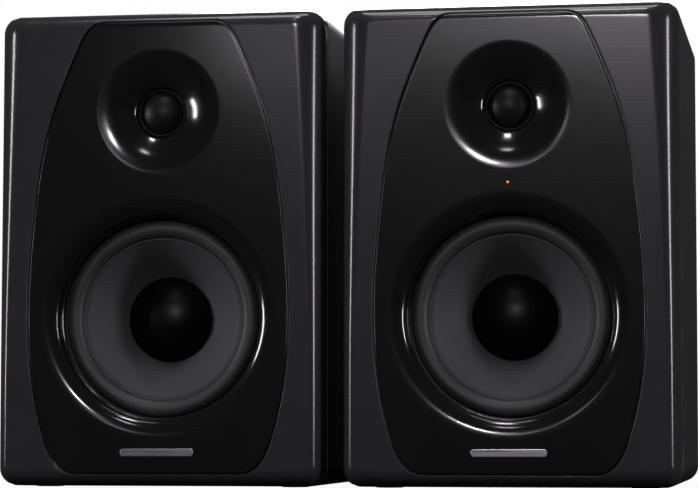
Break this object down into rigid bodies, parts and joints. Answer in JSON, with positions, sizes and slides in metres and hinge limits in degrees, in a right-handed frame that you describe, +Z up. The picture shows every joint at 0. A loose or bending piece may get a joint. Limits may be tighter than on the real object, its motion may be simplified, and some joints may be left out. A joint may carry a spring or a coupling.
{
  "type": "desktop speaker pair",
  "caption": "Pair of upright two-way desktop speakers with rolled front edges, tapered gloss centre panels, woofers, dome tweeters, rear ports and rear controls.",
  "frame": {"origin": "centre of the pair's overall box in plan, on the surface that the feet stand on", "axes": "+X from the left speaker to the right one as seen from the front, +Y from front to back, +Z up; the fronts face -Y"},
  "size_m": [0.3862, 0.2094, 0.269],
  "materials": {
    "wrapped_board": "fibreboard under a fine-grained satin black vinyl wrap",
    "bare_board": "raw fibreboard",
    "bezel_plastic": "satin charcoal moulding with a very fine grain",
    "panel_gloss": "near-black gloss moulding",
    "satin_metal": "satin silver, blank",
    "led_amber": "lit orange-red lens",
    "rubber_black": "matte",
    "port_plastic": "satin black",
    "basket_steel": "black paint",
    "surround_rubber": "matte butyl rubber",
    "cone_paper": "coated dark grey pulp",
    "cap_gloss": "gloss black",
    "copper_coil": "copper winding on its former",
    "spider_cloth": "resin-dipped cloth",
    "ferrite": "dark ferrite with plated plates",
    "zinc_steel": "zinc plated",
    "black_steel": "black oxide",
    "black_plastic": "fine texture",
    "dome_silk": "coated silk",
    "plate_paint": "fine-textured black powder coat",
    "sink_aluminium": "black anodised",
    "board_green": "circuit board with its parts",
    "transformer_wrap": "yellow tape over copper",
    "knob_plastic": "satin black",
    "slider_plastic": "light grey",
    "jack_plastic": "black with a bright contact",
    "phono_metal": "nickel plated, red and white inserts",
    "usb_shell": "tin plated",
    "rocker_plastic": "black",
    "lever_red": "red",
    "lever_black": "black"
  },
  "bodies": {
    "right_speaker": {"right_baffle_board": "bare_board", "right_front_bezel": "bezel_plastic", "right_nameplate": "satin_metal", "right_feet": "rubber_black", "right_port_tube": "port_plastic", "right_woofer_basket": "basket_steel", "right_woofer_surround": "surround_rubber", "right_woofer_spider": "spider_cloth", "right_woofer_magnet": "ferrite", "right_woofer_pole_plates": "zinc_steel", "right_woofer_screws": "black_steel", "right_tweeter_housing": "black_plastic", "right_tweeter_magnet": "ferrite", "right_cabinet": "wrapped_board", "right_center_panel": "panel_gloss", "right_power_led": "led_amber", "right_amp_plate": "plate_paint", "right_plate_screws": "black_steel", "right_heatsink": "sink_aluminium", "right_circuit_board": "board_green", "right_transformer": "transformer_wrap", "right_line_jacks": "jack_plastic", "right_rca_jacks": "phono_metal", "right_usb_socket": "usb_shell", "right_mains_inlet": "black_plastic", "right_terminal_block": "black_plastic"},
    "right_woofer_cone_assembly": {"right_woofer_cone": "cone_paper", "right_woofer_dust_cap": "cap_gloss", "right_woofer_voice_coil": "copper_coil"},
    "right_tweeter_dome_assembly": {"right_tweeter_dome": "dome_silk"},
    "right_red_lever_body": {"right_red_lever": "lever_red"},
    "right_black_lever_body": {"right_black_lever": "lever_black"},
    "right_volume_knob_body": {"right_volume_knob": "knob_plastic"},
    "right_treble_slider_body": {"right_treble_slider": "slider_plastic"},
    "right_fuse_drawer_body": {"right_fuse_drawer": "black_plastic"},
    "right_power_rocker_body": {"right_power_rocker": "rocker_plastic"},
    "left_speaker": {"left_baffle_board": "bare_board", "left_front_bezel": "bezel_plastic", "left_nameplate": "satin_metal", "left_feet": "rubber_black", "left_port_tube": "port_plastic", "left_woofer_basket": "basket_steel", "left_woofer_surround": "surround_rubber", "left_woofer_spider": "spider_cloth", "left_woofer_magnet": "ferrite", "left_woofer_pole_plates": "zinc_steel", "left_woofer_screws": "black_steel", "left_tweeter_housing": "black_plastic", "left_tweeter_magnet": "ferrite", "left_cabinet": "wrapped_board", "left_center_panel": "panel_gloss", "left_terminal_cup": "black_plastic", "left_cup_screws": "black_steel", "left_crossover_board": "board_green"},
    "left_woofer_cone_assembly": {"left_woofer_cone": "cone_paper", "left_woofer_dust_cap": "cap_gloss", "left_woofer_voice_coil": "copper_coil"},
    "left_tweeter_dome_assembly": {"left_tweeter_dome": "dome_silk"},
    "left_red_lever_body": {"left_red_lever": "lever_red"},
    "left_black_lever_body": {"left_black_lever": "lever_black"}
  },
  "joints": [
    {"name": "left_speaker_place", "type": "slide", "parent": "right_speaker", "child": "left_speaker", "axis": [-1, 0, 0], "range_m": [0, 0.3]},
    {"name": "right_woofer_stroke", "type": "slide", "parent": "right_speaker", "child": "right_woofer_cone_assembly", "axis": [0, -1, 0], "range_m": [-0.004, 0.004], "stiffness_N_per_m": 1200, "deforming": ["right_woofer_surround", "right_woofer_spider"]},
    {"name": "right_tweeter_stroke", "type": "slide", "parent": "right_speaker", "child": "right_tweeter_dome_assembly", "axis": [0, -1, 0], "range_m": [-0.0004, 0.0004], "stiffness_N_per_m": 200},
    {"name": "right_red_lever_press", "type": "hinge", "parent": "right_speaker", "child": "right_red_lever_body", "pos_m": [0.0716, 0.08535, 0.0475], "axis": [-1, 0, 0], "range_deg": [0, 25], "stiffness_Nm_per_rad": 0.05},
    {"name": "right_black_lever_press", "type": "hinge", "parent": "right_speaker", "child": "right_black_lever_body", "pos_m": [0.0506, 0.08535, 0.0475], "axis": [-1, 0, 0], "range_deg": [0, 25], "stiffness_Nm_per_rad": 0.05},
    {"name": "left_woofer_stroke", "type": "slide", "parent": "left_speaker", "child": "left_woofer_cone_assembly", "axis": [0, -1, 0], "range_m": [-0.004, 0.004], "stiffness_N_per_m": 1200, "deforming": ["left_woofer_surround", "left_woofer_spider"]},
    {"name": "left_tweeter_stroke", "type": "slide", "parent": "left_speaker", "child": "left_tweeter_dome_assembly", "axis": [0, -1, 0], "range_m": [-0.0004, 0.0004], "stiffness_N_per_m": 200},
    {"name": "left_red_lever_press", "type": "hinge", "parent": "left_speaker", "child": "left_red_lever_body", "pos_m": [-0.0886, 0.08575, 0.1055], "axis": [-1, 0, 0], "range_deg": [0, 25], "stiffness_Nm_per_rad": 0.05},
    {"name": "left_black_lever_press", "type": "hinge", "parent": "left_speaker", "child": "left_black_lever_body", "pos_m": [-0.1096, 0.08575, 0.1055], "axis": [-1, 0, 0], "range_deg": [0, 25], "stiffness_Nm_per_rad": 0.05},
    {"name": "volume_turn", "type": "hinge", "parent": "right_speaker", "child": "right_volume_knob_body", "pos_m": [0.1461, 0.09775, 0.166], "axis": [0, -1, 0], "range_deg": [-150, 150]},
    {"name": "treble_switch_slide", "type": "slide", "parent": "right_speaker", "child": "right_treble_slider_body", "axis": [1, 0, 0], "range_m": [0, 0.004]},
    {"name": "power_switch_rock", "type": "hinge", "parent": "right_speaker", "child": "right_power_rocker_body", "pos_m": [0.1371, 0.08975, 0.084], "axis": [-1, 0, 0], "range_deg": [0, 16]},
    {"name": "fuse_drawer_pull", "type": "slide", "parent": "right_speaker", "child": "right_fuse_drawer_body", "axis": [0, 1, 0], "range_m": [0, 0.015]}
  ]
}
